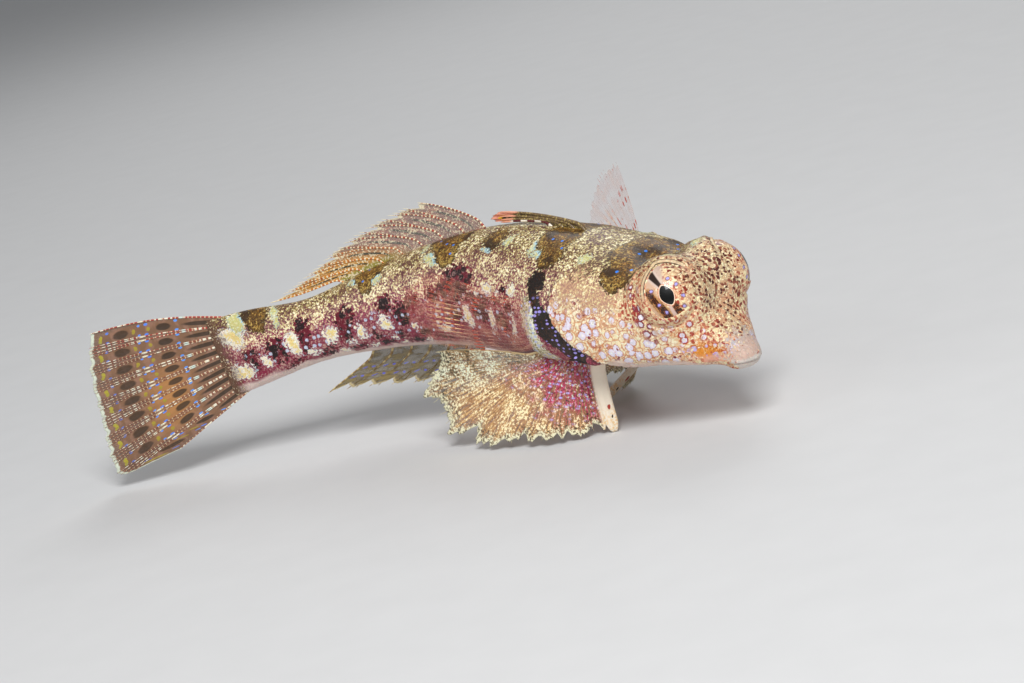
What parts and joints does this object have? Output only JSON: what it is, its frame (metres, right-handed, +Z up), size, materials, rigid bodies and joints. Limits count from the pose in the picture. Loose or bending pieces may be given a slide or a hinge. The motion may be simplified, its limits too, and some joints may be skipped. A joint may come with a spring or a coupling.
{
  "type": "moyers dragonet",
  "caption": "Life-size still model of a small mottled reef fish propped on its spread pelvic fins.",
  "frame": {"origin": "middle of the object's footprint, on the floor that it rests on", "axes": "+X towards the head, -Y the fish's right side, +Z up"},
  "size_m": [0.0724, 0.0276, 0.0218],
  "materials": {
    "skin": "wet, mottled",
    "eye": "wet, clear",
    "dorsal_fin": "wet, banded",
    "anal_fin": "wet, spotted",
    "tail_fin": "wet, spotted",
    "pectoral_fin": "wet, clear between red-dashed rays",
    "pelvic_fin": "wet, freckled"
  },
  "bodies": {
    "root": {"head": "skin", "torso": "skin", "tail": "skin", "eye_right": "eye", "eye_left": "eye", "first_dorsal_fin": "dorsal_fin", "second_dorsal_fin": "dorsal_fin", "anal_fin": "anal_fin", "caudal_fin": "tail_fin", "pectoral_fin_right": "pectoral_fin", "pectoral_fin_left": "pectoral_fin", "pelvic_fin_right": "pelvic_fin", "pelvic_fin_left": "pelvic_fin"}
  },
  "joints": []
}
